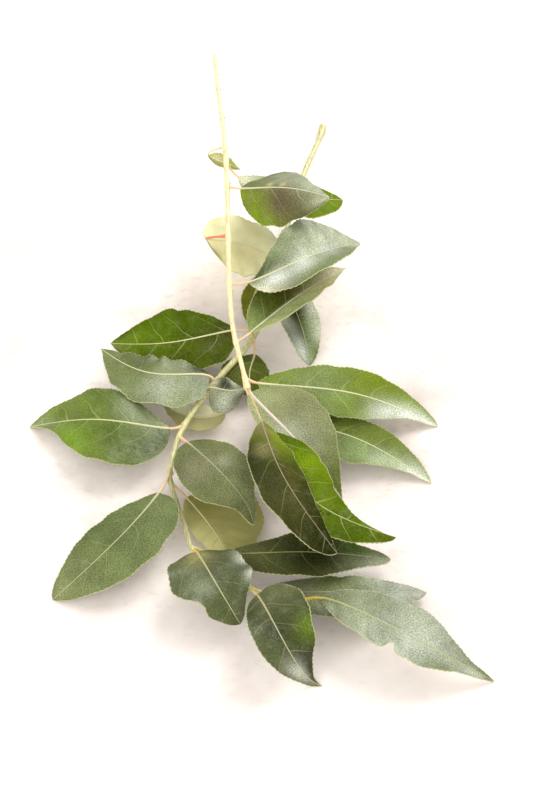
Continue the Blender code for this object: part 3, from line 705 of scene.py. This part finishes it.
def rachis_line(name):
    """A mesh of the rachis's line, with its radius, and a loose point for each scar."""
    spec = RACHISES[name]
    curve, lengths, _ = smooth_curve(spec["route"])
    distances = np.linspace(0.0, lengths[-1], int(lengths[-1] / ROD_STEP))
    places, _ = along(curve, lengths, distances)
    marks, radii = zip(*spec["radii"])
    radius = np.interp(distances, marks, radii)
    for leaflet, leaf in LEAFLETS.items():
        if leaflet.startswith(name.split("_")[0]) and leaf["at"] is not None:
            radius += NODE_SWELL * np.exp(-(((distances - leaf["at"]) / NODE_REACH) ** 2))
    points, sizes = [], []
    for distance, turn, size in spec["scars"]:
        (centre,), (head,) = along(curve, lengths, np.array([float(distance)]))
        side = unit(np.cross(head, (0.0, 0.0, 1.0)))
        up = np.cross(side, head)
        angle = math.radians(turn)
        seat = SCAR_SEAT * np.interp(distance, marks, radii)
        points.append(centre + seat * (side * math.cos(angle) + up * math.sin(angle)))
        sizes.append(size)
    vertices = np.concatenate([places, np.array(points)]) + OFFSET
    mesh = bpy.data.meshes.new(name + "_line")
    mesh.from_pydata((vertices * MM).tolist(), [(i, i + 1) for i in range(len(places) - 1)], [])
    store(mesh, "FLOAT", {
        "rib_radius": np.concatenate([radius, np.zeros(len(points))]) * MM,
        "scar_radius": np.concatenate([np.zeros(len(places)), sizes]) * MM,
    })
    return mesh


# Trees.


def new_tree(name, sockets):
    """An empty geometry tree with named inputs: (name, kind of socket, value)."""
    tree = bpy.data.node_groups.new(name, "GeometryNodeTree")
    tree.interface.new_socket("Geometry", in_out="OUTPUT", socket_type="NodeSocketGeometry")
    tree.interface.new_socket("Geometry", in_out="INPUT", socket_type="NodeSocketGeometry")
    for label, kind, value in sockets:
        socket = tree.interface.new_socket(label, in_out="INPUT", socket_type="NodeSocket" + kind)
        if value is not None:
            socket.default_value = value
    given = tree.nodes.new("NodeGroupInput")
    return tree, {socket.name: socket for socket in given.outputs}


def end_tree(tree, parts, chosen, material):
    """Joins the parts and ends the tree, with the material on the chosen faces, which have none yet."""
    whole = add(tree, "GeometryNodeJoinGeometry", {"Geometry": [part.outputs[0] for part in parts]})
    real = add(tree, "GeometryNodeRealizeInstances", {"Geometry": whole})
    smooth = add(tree, "GeometryNodeSetShadeSmooth", {"Geometry": real})
    finished = add(
        tree, "GeometryNodeSetMaterial", {"Geometry": smooth, "Selection": chosen, "Material": material}
    )
    add(tree, "NodeGroupOutput", {"Geometry": finished})


def bulges(tree, distance, spacing):
    """Rounded bulges along a distance: 0 between two of them and 1 on top."""
    turns = add(tree, "ShaderNodeMath", {0: distance, 1: spacing}, operation="DIVIDE")
    angle = add(tree, "ShaderNodeMath", {0: turns, 1: math.pi}, operation="MULTIPLY")
    wave = add(tree, "ShaderNodeMath", {0: angle}, operation="SINE")
    return add(tree, "ShaderNodeMath", {0: wave}, operation="ABSOLUTE")


def rod_along(tree, line, radius, sides):
    """A round rod along a line of edges."""
    curve = add(tree, "GeometryNodeMeshToCurve", {"Mesh": line})
    ring = add(tree, "GeometryNodeCurvePrimitiveCircle", {"Resolution": sides, "Radius": 1.0})
    return add(
        tree, "GeometryNodeCurveToMesh",
        {"Curve": curve, "Profile Curve": ring, "Scale": radius, "Fill Caps": True},
    )


def leaf_tree():
    """Grows a leaflet: toothed rim, puckers between the veins, thickness, midrib and stalk."""
    tree, given = new_tree("grow leaflet", [
        ("Leaf thickness", "Float", LEAF_THICKNESS * MM),
        ("Tooth pitch", "Float", TOOTH_PITCH),
        ("Tooth depth", "Float", TOOTH_DEPTH * MM),
        ("Vein spacing", "Float", VEIN_SPACING),
        ("Vein relief", "Float", VEIN_RELIEF * MM),
        ("Pucker", "Float", PUCKER * MM),
        ("Seed", "Float", 0.0),
        *((name, "Material", None) for name in ("Top", "Underside", "Rim", "Stalk")),
    ])
    rib_radius, along_mm, across_mm, half_mm = (
        add(tree, "GeometryNodeInputNamedAttribute", {"Name": name}, data_type="FLOAT")
        for name in ("rib_radius", "along_mm", "across_mm", "half_mm")
    )
    outwards = add(tree, "GeometryNodeInputNamedAttribute", {"Name": "outwards"}, data_type="FLOAT_VECTOR")
    is_line = add(tree, "FunctionNodeCompare", {0: rib_radius, 1: 0.0}, operation="GREATER_THAN")
    parts = add(tree, "GeometryNodeSeparateGeometry", {"Geometry": given["Geometry"], "Selection": is_line})

    # Rounded teeth: the rim is pulled in between them, and a short way in from the rim it is straight.
    out_mm = add(tree, "ShaderNodeMath", {0: across_mm}, operation="ABSOLUTE")
    share = add(tree, "ShaderNodeMath", {0: out_mm, 1: half_mm}, operation="DIVIDE")
    scallop = bulges(tree, along_mm, given["Tooth pitch"])
    pulled = add(tree, "ShaderNodeMath", {0: scallop, 1: 1.0}, operation="SUBTRACT")
    at_rim = add(tree, "ShaderNodeMapRange", {"Value": share, 1: 0.93, 2: 1.0})
    depth = add(tree, "ShaderNodeMath", {0: pulled, 1: given["Tooth depth"]}, operation="MULTIPLY")
    tooth = add(tree, "ShaderNodeMath", {0: depth, 1: at_rim}, operation="MULTIPLY")
    toothed = add(tree, "ShaderNodeVectorMath", {0: outwards, "Scale": tooth}, operation="SCALE")

    # Quilting: the blade swells between its side veins, which lean towards the tip, but not at the rib.
    lean = add(tree, "ShaderNodeMath", {0: out_mm, 1: -QUILT_SLANT, 2: along_mm}, operation="MULTIPLY_ADD")
    quilt = bulges(tree, lean, given["Vein spacing"])
    off_rib = add(tree, "ShaderNodeMapRange", {"Value": out_mm, 1: 0.3, 2: 1.5})
    quilted = add(tree, "ShaderNodeMath", {0: quilt, 1: off_rib}, operation="MULTIPLY")
    relief = add(tree, "ShaderNodeMath", {0: quilted, 1: given["Vein relief"]}, operation="MULTIPLY")
    # Puckers: slow waves about 9 mm apart, which grow over the first 3 mm out from the rib.
    spot = add(tree, "ShaderNodeCombineXYZ", {0: along_mm, 1: across_mm, 2: given["Seed"]})
    slow = add(tree, "ShaderNodeTexNoise", {"Vector": spot, "Scale": 0.11, "Detail": 2.0})
    centred = add(tree, "ShaderNodeMath", {0: slow, 1: 0.5}, operation="SUBTRACT")
    from_rib = add(tree, "ShaderNodeMapRange", {"Value": out_mm, 1: 0.3, 2: 3.0, 3: 0.0, 4: 6.0})
    waving = add(tree, "ShaderNodeMath", {0: centred, 1: from_rib}, operation="MULTIPLY")
    height = add(
        tree, "ShaderNodeMath", {0: waving, 1: given["Pucker"], 2: relief}, operation="MULTIPLY_ADD"
    )
    normal = add(tree, "GeometryNodeInputNormal")
    risen = add(tree, "ShaderNodeVectorMath", {0: normal, "Scale": height}, operation="SCALE")
    moved = add(tree, "ShaderNodeVectorMath", {0: toothed, 1: risen}, operation="ADD")
    sheet = add(tree, "GeometryNodeSetPosition", {"Geometry": parts.outputs[1], "Offset": moved})

    # Thickness: the sheet pushed up for the top, its own walls for the rim, and itself turned over.
    thick = add(
        tree, "GeometryNodeExtrudeMesh",
        {"Mesh": sheet, "Offset Scale": given["Leaf thickness"], "Individual": False}, mode="FACES",
    )
    top = add(tree, "GeometryNodeSetMaterial", {"Geometry": thick, "Material": given["Top"]})
    walls = add(
        tree, "GeometryNodeSetMaterial",
        {"Geometry": top, "Selection": thick.outputs["Side"], "Material": given["Rim"]},
    )
    turned = add(tree, "GeometryNodeFlipFaces", {"Mesh": sheet})
    under = add(tree, "GeometryNodeSetMaterial", {"Geometry": turned, "Material": given["Underside"]})
    shell = add(tree, "GeometryNodeJoinGeometry", {"Geometry": [walls.outputs[0], under.outputs[0]]})
    closed = add(tree, "GeometryNodeMergeByDistance", {"Geometry": shell, "Distance": MERGE_GAP * MM})

    rod = rod_along(tree, parts, rib_radius, RIB_SIDES)
    end_tree(tree, [closed, rod], is_line, given["Stalk"])
    return tree


def rachis_tree():
    """Grows a rachis: a rod along its route with lengthwise ridges, and the scars of fallen leaflets."""
    tree, given = new_tree("grow rachis", [
        ("Ridge height", "Float", RIDGE_HEIGHT * MM),
        ("Scar flatness", "Float", SCAR_FLATNESS),
        ("Seed", "Float", 0.0),
        ("Bark", "Material", None),
        ("Scar", "Material", None),
    ])
    rib_radius, scar_radius = (
        add(tree, "GeometryNodeInputNamedAttribute", {"Name": name}, data_type="FLOAT")
        for name in ("rib_radius", "scar_radius")
    )
    is_rod = add(tree, "FunctionNodeCompare", {0: scar_radius, 1: 0.0}, operation="LESS_EQUAL")
    parts = add(tree, "GeometryNodeSeparateGeometry", {"Geometry": given["Geometry"], "Selection": is_rod})

    # Ridges about 0.7 mm wide and eight times as long, along Y, which the rod nearly follows.
    rod = rod_along(tree, parts, rib_radius, ROD_SIDES)
    place = add(tree, "GeometryNodeInputPosition")
    squeezed = add(tree, "ShaderNodeVectorMath", {0: place, 1: (1.0, 0.12, 1.0)}, operation="MULTIPLY")
    ridges = add(
        tree, "ShaderNodeTexNoise",
        {"Vector": squeezed, "W": given["Seed"], "Scale": 1400.0, "Detail": 1.0}, noise_dimensions="4D",
    )
    centred = add(tree, "ShaderNodeMath", {0: ridges, 1: 0.5}, operation="SUBTRACT")
    height = add(tree, "ShaderNodeMath", {0: centred, 1: given["Ridge height"]}, operation="MULTIPLY")
    normal = add(tree, "GeometryNodeInputNormal")
    risen = add(tree, "ShaderNodeVectorMath", {0: normal, "Scale": height}, operation="SCALE")
    ridged = add(tree, "GeometryNodeSetPosition", {"Geometry": rod, "Offset": risen})

    bead = add(tree, "GeometryNodeMeshIcoSphere", {"Radius": 1.0, "Subdivisions": 2})
    dried = add(tree, "GeometryNodeSetMaterial", {"Geometry": bead, "Material": given["Scar"]})
    squash = add(tree, "ShaderNodeCombineXYZ", {0: 1.0, 1: 1.5, 2: given["Scar flatness"]})
    size = add(tree, "ShaderNodeVectorMath", {0: squash, "Scale": scar_radius}, operation="SCALE")
    beads = add(
        tree, "GeometryNodeInstanceOnPoints", {"Points": parts.outputs[1], "Instance": dried, "Scale": size},
    )
    end_tree(tree, [ridged, beads], is_rod, given["Bark"])
    return tree


def grow(tree, base, name, **inputs):
    """Runs a tree over a base mesh, and gives back the plain mesh that it makes as a piece."""
    seedling = new_object(name + "_seedling", base)
    modifier = seedling.modifiers.new("grow", "NODES")
    modifier.node_group = tree
    keys = {item.name: item.identifier for item in tree.interface.items_tree if item.in_out == "INPUT"}
    for label, value in inputs.items():
        modifier[keys[label]] = value
    graph = bpy.context.evaluated_depsgraph_get()
    mesh = bpy.data.meshes.new_from_object(
        seedling.evaluated_get(graph), preserve_all_data_layers=True, depsgraph=graph
    )
    bpy.data.objects.remove(seedling)
    bpy.data.meshes.remove(base)
    # The slot of the faces that had no material until the end of the tree is empty now.
    mesh.materials.pop(index=list(mesh.materials).index(None))
    mesh.name = name
    return new_object(name, mesh)


# Finishes.


def new_material(name):
    material = bpy.data.materials.new(name)
    material.use_nodes = True
    material.node_tree.nodes.clear()
    return material, material.node_tree


def clouds(tree, place, scale, detail, spread, roughness=0.5):
    """Noise, and the same noise spread from its (low, high) to (least, most)."""
    noise = add(
        tree, "ShaderNodeTexNoise",
        {"Vector": place, "Scale": scale, "Detail": detail, "Roughness": roughness},
    )
    low, high, least, most = spread
    return noise, add(tree, "ShaderNodeMapRange", {"Value": noise, 1: low, 2: high, 3: least, 4: most})


def laid_over(tree, base, layers):
    """A colour with layers laid over it in turn: (amount, colour)."""
    for amount, over in layers:
        base = add(tree, "ShaderNodeMix", {0: amount, 6: base, 7: over}, data_type="RGBA").outputs[2]
    return base


def lit_through(tree, surface, light, share):
    """Ends a material with the surface and, for a share of it, light that comes through from behind."""
    shining = add(tree, "ShaderNodeBsdfTranslucent", {"Color": light})
    mixed = add(tree, "ShaderNodeMixShader", {0: share, 1: surface, 2: shining})
    add(tree, "ShaderNodeOutputMaterial", {"Surface": mixed})


def leaf_field(tree):
    """The leaf's own attributes, and in millimetres how far out from the midrib and from the rim it is."""
    read = {
        name: add(tree, "ShaderNodeAttribute", attribute_name=name).outputs["Fac"]
        for name in ("along_mm", "across_mm", "half_mm", "rib_mm", "leaf_seed", "glow")
    }
    for name in ("tint", "rib_tint"):
        read[name] = add(tree, "ShaderNodeAttribute", attribute_name=name).outputs["Color"]
    read["out"] = add(tree, "ShaderNodeMath", {0: read["across_mm"]}, operation="ABSOLUTE")
    read["to_rim"] = add(
        tree, "ShaderNodeMath", {0: read["half_mm"], 1: read["out"]}, operation="SUBTRACT"
    )
    shifted = add(tree, "ShaderNodeMath", {0: read["leaf_seed"], 1: 37.0}, operation="MULTIPLY")
    read["spot"] = add(tree, "ShaderNodeCombineXYZ", {0: read["along_mm"], 1: read["across_mm"], 2: shifted})
    return read


def side_veins(tree, read, spacing):
    """How strongly a side vein shows: thin lines that leave the midrib at a slant and loop to the tip."""
    # Distance along the rib less (slant + loop × out) × out, which is the same along a vein.
    fall = add(
        tree, "ShaderNodeMath", {0: read["out"], 1: -VEIN_LOOP, 2: -VEIN_SLANT}, operation="MULTIPLY_ADD"
    )
    slanted = add(
        tree, "ShaderNodeMath", {0: fall, 1: read["out"], 2: read["along_mm"]}, operation="MULTIPLY_ADD"
    )
    # The two halves' veins alternate, and none is quite regular: the noise is about 12 mm wide.
    right_half = add(tree, "ShaderNodeMath", {0: read["across_mm"], 1: 0.0}, operation="GREATER_THAN")
    shifted = add(
        tree, "ShaderNodeMath", {0: right_half, 1: VEIN_SHIFT, 2: slanted}, operation="MULTIPLY_ADD"
    )
    wander = add(tree, "ShaderNodeTexNoise", {"Vector": read["spot"], "Scale": 0.08, "Detail": 1.0})
    strayed = add(
        tree, "ShaderNodeMath", {0: wander, 1: VEIN_STRAY, 2: shifted}, operation="MULTIPLY_ADD"
    )
    position = add(tree, "ShaderNodeMath", {0: strayed, 1: spacing}, operation="PINGPONG")
    line = add(
        tree, "ShaderNodeMapRange", {"Value": position, 1: 0.08, 2: 0.24, 3: 1.0, 4: 0.0},
        interpolation_type="SMOOTHSTEP",
    )
    # The net between the side veins has meshes about 1.4 mm wide.
    net = add(
        tree, "ShaderNodeTexVoronoi", {"Vector": read["spot"], "Scale": 0.7}, feature="DISTANCE_TO_EDGE",
    )
    mesh = add(tree, "ShaderNodeMapRange", {"Value": net, 1: 0.02, 2: 0.10, 3: 0.16, 4: 0.0})
    both = add(tree, "ShaderNodeMath", {0: line, 1: mesh}, operation="MAXIMUM")
    share = add(tree, "ShaderNodeMath", {0: read["out"], 1: read["half_mm"]}, operation="DIVIDE")
    fading = add(tree, "ShaderNodeMapRange", {"Value": share, 1: 0.2, 2: 0.95, 3: 1.0, 4: 0.25})
    return add(tree, "ShaderNodeMath", {0: both, 1: fading}, operation="MULTIPLY")


def leaf_top(name, specular, smoothest, most_bloom_and_sheen):
    """Upper skin of a leaf, waxy or dull: its green tint, which holds painted sheen, shade and light coming
    through, in lighter and darker clouds, a thin grey bloom that is partly painted sheen, a fine grain of
    glands, paler veins and rim, and green light that comes through from behind."""
    material, tree = new_material(name)
    read = leaf_field(tree)
    veins = side_veins(tree, read, VEIN_SPACING)

    # Darker and lighter clouds about 7 mm wide.
    _, cloud = clouds(tree, read["spot"], 0.14, 4.0, (0.3, 0.7, 0.77, 1.23), roughness=0.6)
    # Grain: the skin's glands, drawn about 0.35 mm apart so that they show.
    glands, grain = clouds(tree, read["spot"], 3.0, 1.0, (0.36, 0.66, 0.66, 1.48))
    both = add(tree, "ShaderNodeMath", {0: cloud, 1: grain}, operation="MULTIPLY")
    green = add(tree, "ShaderNodeVectorMath", {0: read["tint"], "Scale": both}, operation="SCALE")
    # Grey bloom, partly wax and partly painted sheen: clouds about 3 mm wide.
    film, bloom_and_sheen = clouds(tree, read["spot"], 0.33, 5.0, (0.52, 0.78, 0.0, most_bloom_and_sheen), roughness=0.65)
    # Veins show more where light comes through. The rib's colour runs a little way past the rod.
    seen = add(tree, "ShaderNodeMapRange", {"Value": read["glow"], 3: 0.16, 4: 0.55})
    vein_amount = add(tree, "ShaderNodeMath", {0: veins, 1: seen}, operation="MULTIPLY")
    from_rib = add(tree, "ShaderNodeMath", {0: read["out"], 1: read["rib_mm"]}, operation="DIVIDE")
    rib = add(tree, "ShaderNodeMapRange", {"Value": from_rib, 1: 0.8, 2: 1.4, 3: 0.8, 4: 0.0})
    rim = add(tree, "ShaderNodeMapRange", {"Value": read["to_rim"], 1: 0.06, 2: 0.28, 3: 0.62, 4: 0.0})
    # The tint holds painted sheen, painted shade and painted light coming through, and the grey layer is
    # partly painted sheen.
    skin = laid_over(tree, green, [
        (bloom_and_sheen, colour("#B4B995")), (vein_amount, colour("#CDD08C")),
        (rib, read["rib_tint"]), (rim, colour("#E2DFAC")),
    ])
    light = laid_over(tree, colour("#2E3C08"), [
        (read["glow"], colour("#90A800")), (vein_amount, colour("#D8E67A")), (rim, colour("#E4EEA0")),
    ])

    pitted = add(tree, "ShaderNodeMath", {0: glands, 1: 0.5}, operation="MULTIPLY")
    height = add(tree, "ShaderNodeMath", {0: veins, 1: -0.6, 2: pitted}, operation="MULTIPLY_ADD")
    # Crinkles about 1.5 mm wide, on top of the shape's own.
    crinkles = add(tree, "ShaderNodeTexNoise", {"Vector": read["spot"], "Scale": 0.7, "Detail": 2.0})
    relief = add(tree, "ShaderNodeMath", {0: crinkles, 1: 2.0, 2: height}, operation="MULTIPLY_ADD")
    bump = add(tree, "ShaderNodeBump", {"Height": relief, "Strength": 0.7, "Distance": 0.16 * MM})
    rough = add(
        tree, "ShaderNodeMapRange", {"Value": film, 1: 0.3, 2: 0.7, 3: smoothest, 4: smoothest + 0.2}
    )
    surface = add(
        tree, "ShaderNodeBsdfPrincipled",
        {"Base Color": skin, "Roughness": rough, "IOR": 1.4, "Specular IOR Level": specular, "Normal": bump},
    )
    lit_through(tree, surface, light, 0.3)
    return material


def leaf_underside():
    """Matte lower skin of a leaf: paler than the top, with its raised veins close together and darker."""
    material, tree = new_material("matte_leaf_underside")
    read = leaf_field(tree)
    veins = side_veins(tree, read, LOWER_VEIN_SPACING)
    # Clouds about 5 mm wide.
    _, cloud = clouds(tree, read["spot"], 0.2, 3.0, (0.3, 0.7, 0.88, 1.12))
    green = add(tree, "ShaderNodeVectorMath", {0: read["tint"], "Scale": cloud}, operation="SCALE")
    seen = add(tree, "ShaderNodeMapRange", {"Value": read["glow"], 1: 0.8, 2: 1.0, 3: 0.40, 4: 0.06})
    vein_amount = add(tree, "ShaderNodeMath", {0: veins, 1: seen}, operation="MULTIPLY")
    skin = laid_over(tree, green, [(vein_amount, colour("#9A944C"))])
    light = laid_over(tree, colour("#6A7020"), [(read["glow"], colour("#F6F2C0"))])
    bump = add(tree, "ShaderNodeBump", {"Height": veins, "Strength": 0.6, "Distance": 0.1 * MM})
    surface = add(
        tree, "ShaderNodeBsdfPrincipled", {"Base Color": skin, "Roughness": 0.7, "IOR": 1.4, "Normal": bump},
    )
    lit_through(tree, surface, light, 0.35)
    return material


def leaf_rim():
    """The leaf's thin edge: cream, and light shines through it."""
    material, tree = new_material("cream_leaf_rim")
    surface = add(
        tree, "ShaderNodeBsdfPrincipled", {"Base Color": colour("#D9D6A0"), "Roughness": 0.5, "IOR": 1.45}
    )
    lit_through(tree, surface, colour("#E2EBA0"), 0.4)
    return material


def leaf_stalk():
    """Short fleshy stalk: orange or yellow at its foot, and paler where it runs on as the midrib."""
    material, tree = new_material("fleshy_leaf_stalk")
    flesh = add(tree, "ShaderNodeAttribute", attribute_name="tint").outputs["Color"]
    surface = add(tree, "ShaderNodeBsdfPrincipled", {"Base Color": flesh, "Roughness": 0.45, "IOR": 1.4})
    lit_through(tree, surface, flesh, 0.2)
    return material


def rachis_bark(name, light, dark):
    """Smooth green bark of a fresh rachis: satin, with faint lengthwise streaks."""
    material, tree = new_material(name)
    place = add(tree, "ShaderNodeTexCoord").outputs["Object"]
    # Streaks are about 0.4 mm wide and eight times as long.
    stretched = add(tree, "ShaderNodeVectorMath", {0: place, 1: (1.0, 0.12, 1.0)}, operation="MULTIPLY")
    streaks, amount = clouds(tree, stretched, 2500.0, 2.0, (0.35, 0.7, 0.0, 1.0))
    bark = laid_over(tree, colour(light), [(amount, colour(dark))])
    bump = add(tree, "ShaderNodeBump", {"Height": streaks, "Strength": 0.3, "Distance": 0.05 * MM})
    surface = add(
        tree, "ShaderNodeBsdfPrincipled",
        {"Base Color": bark, "Roughness": 0.45, "IOR": 1.45, "Normal": bump},
    )
    add(tree, "ShaderNodeOutputMaterial", {"Surface": surface})
    return material


def dried_scar():
    """Dried skin over an old leaf base: orange-brown and matte."""
    material, tree = new_material("dried_scar")
    surface = add(tree, "ShaderNodeBsdfPrincipled", {"Base Color": colour("#D9A860"), "Roughness": 0.7})
    add(tree, "ShaderNodeOutputMaterial", {"Surface": surface})
    return material


def table_top():
    """Painted board: matte, nearly white, with faint pinkish-grey mottled clouds that are strongest round
    the sprig, as painted shade there.
    """
    material, tree = new_material("painted_board")
    place = add(tree, "ShaderNodeTexCoord").outputs["Object"]
    # Clouds about 30 mm wide with finer ones in them.
    _, mottle = clouds(tree, place, 32.0, 6.0, (0.42, 0.68, 0.0, 1.0), roughness=0.62)
    # Brush marks about 2 mm wide.
    stretched = add(tree, "ShaderNodeVectorMath", {0: place, 1: (0.6, 1.0, 1.0)}, operation="MULTIPLY")
    _, brushed = clouds(tree, stretched, 450.0, 3.0, (0.58, 0.72, 0.0, 0.35))
    marked = add(tree, "ShaderNodeMath", {0: mottle, 1: brushed}, operation="ADD")
    # Both fade from 70 mm out, and end 140 mm out, which darkens the board round the sprig as painted shade.
    far = add(tree, "ShaderNodeVectorMath", {0: place}, operation="LENGTH").outputs["Value"]
    shade_round_sprig = add(tree, "ShaderNodeMapRange", {"Value": far, 1: 0.07, 2: 0.14, 3: 1.0, 4: 0.0})
    amount = add(tree, "ShaderNodeMath", {0: marked, 1: shade_round_sprig}, operation="MULTIPLY")
    paint = laid_over(tree, colour("#F9EEE6"), [(amount, colour("#D6C8BE"))])
    surface = add(tree, "ShaderNodeBsdfPrincipled", {"Base Color": paint, "Roughness": 0.8})
    add(tree, "ShaderNodeOutputMaterial", {"Surface": surface})
    return material


# The studio, in metres and watts.


def floor():
    reach = 20.0
    corners = [(-reach, -reach, 0), (reach, -reach, 0), (reach, reach, 0), (-reach, reach, 0)]
    mesh = bpy.data.meshes.new("floor")
    mesh.from_pydata(corners, [], [(0, 1, 2, 3)])
    mesh.materials.append(table_top())
    return new_object("floor", mesh)


def soft_light(name, direction, distance, size, power, diffuse=True, gloss=True):
    """A square softbox that looks at the sprig from the given direction."""
    data = bpy.data.lights.new(name, "AREA")
    data.shape = "SQUARE"
    data.size = size
    data.energy = power
    lamp = new_object(name, data)
    place = Vector(direction).normalized() * distance
    lamp.location = place
    lamp.rotation_euler = place.to_track_quat("Z", "Y").to_euler()
    lamp.visible_diffuse = diffuse
    lamp.visible_transmission = diffuse
    lamp.visible_glossy = gloss


def studio():
    world = bpy.data.worlds.new("studio")
    world.use_nodes = True
    background = world.node_tree.nodes["Background"]
    background.inputs["Color"].default_value = colour("#FFFFFF")
    background.inputs["Strength"].default_value = 0.93
    bpy.context.scene.world = world
    # A window from behind on the right, whose sheen comes from lower down, and a fill from the front.
    soft_light("window", (0.6, 0.7, 1.1), distance=0.9, size=0.55, power=5.2)
    soft_light("window_sheen", (0.42, 0.70, 0.62), distance=0.9, size=0.40, power=9.0, diffuse=False)
    soft_light("front_fill", (-0.4, -0.9, 0.5), distance=1.0, size=0.9, power=7.0, gloss=False)

    target = Vector(OFFSET * MM)
    rise = math.radians(CAMERA_ELEVATION)
    data = bpy.data.cameras.new("camera")
    data.lens = CAMERA_LENS
    camera = new_object("camera", data)
    camera.location = target + Vector((0, -math.cos(rise), math.sin(rise))) * CAMERA_DISTANCE * MM
    camera.rotation_euler = (math.pi / 2 - rise, 0, 0)
    bpy.context.scene.camera = camera
    bpy.context.scene.view_settings.view_transform = "Standard"


def build():
    waxy = leaf_top("waxy_leaf_top", specular=0.45, smoothest=0.32, most_bloom_and_sheen=0.25)
    dull = leaf_top("dull_leaf_top", specular=0.04, smoothest=0.45, most_bloom_and_sheen=0.15)
    skins = dict(Underside=leaf_underside(), Rim=leaf_rim(), Stalk=leaf_stalk())
    grower = leaf_tree()
    pieces = {}
    for seed, name in enumerate(LEAFLETS):
        skins["Top"] = waxy if COLOURS_AND_PAINTED_LIGHT[name].get("waxy") else dull
        label = name.replace("leaflet", "leaf")
        pieces[name] = grow(grower, leaf_sheet(name, seed), label, Seed=seed * 11.0, **skins)

    grower = rachis_tree()
    scar = dried_scar()
    barks = {
        "front_rachis": rachis_bark("cream_rachis_bark", "#F2E2AC", "#DDB886"),
        "back_rachis": rachis_bark("green_rachis_bark", "#D2CC94", "#9A9A5C"),
    }
    for seed, (name, bark) in enumerate(barks.items()):
        label = name.replace("rachis", "stem")
        pieces[name] = grow(grower, rachis_line(name), label, Seed=float(seed), Bark=bark, Scar=scar)

    for name, piece in pieces.items():
        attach(piece, "root")
        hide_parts(name)

    floor()
    studio()


build()
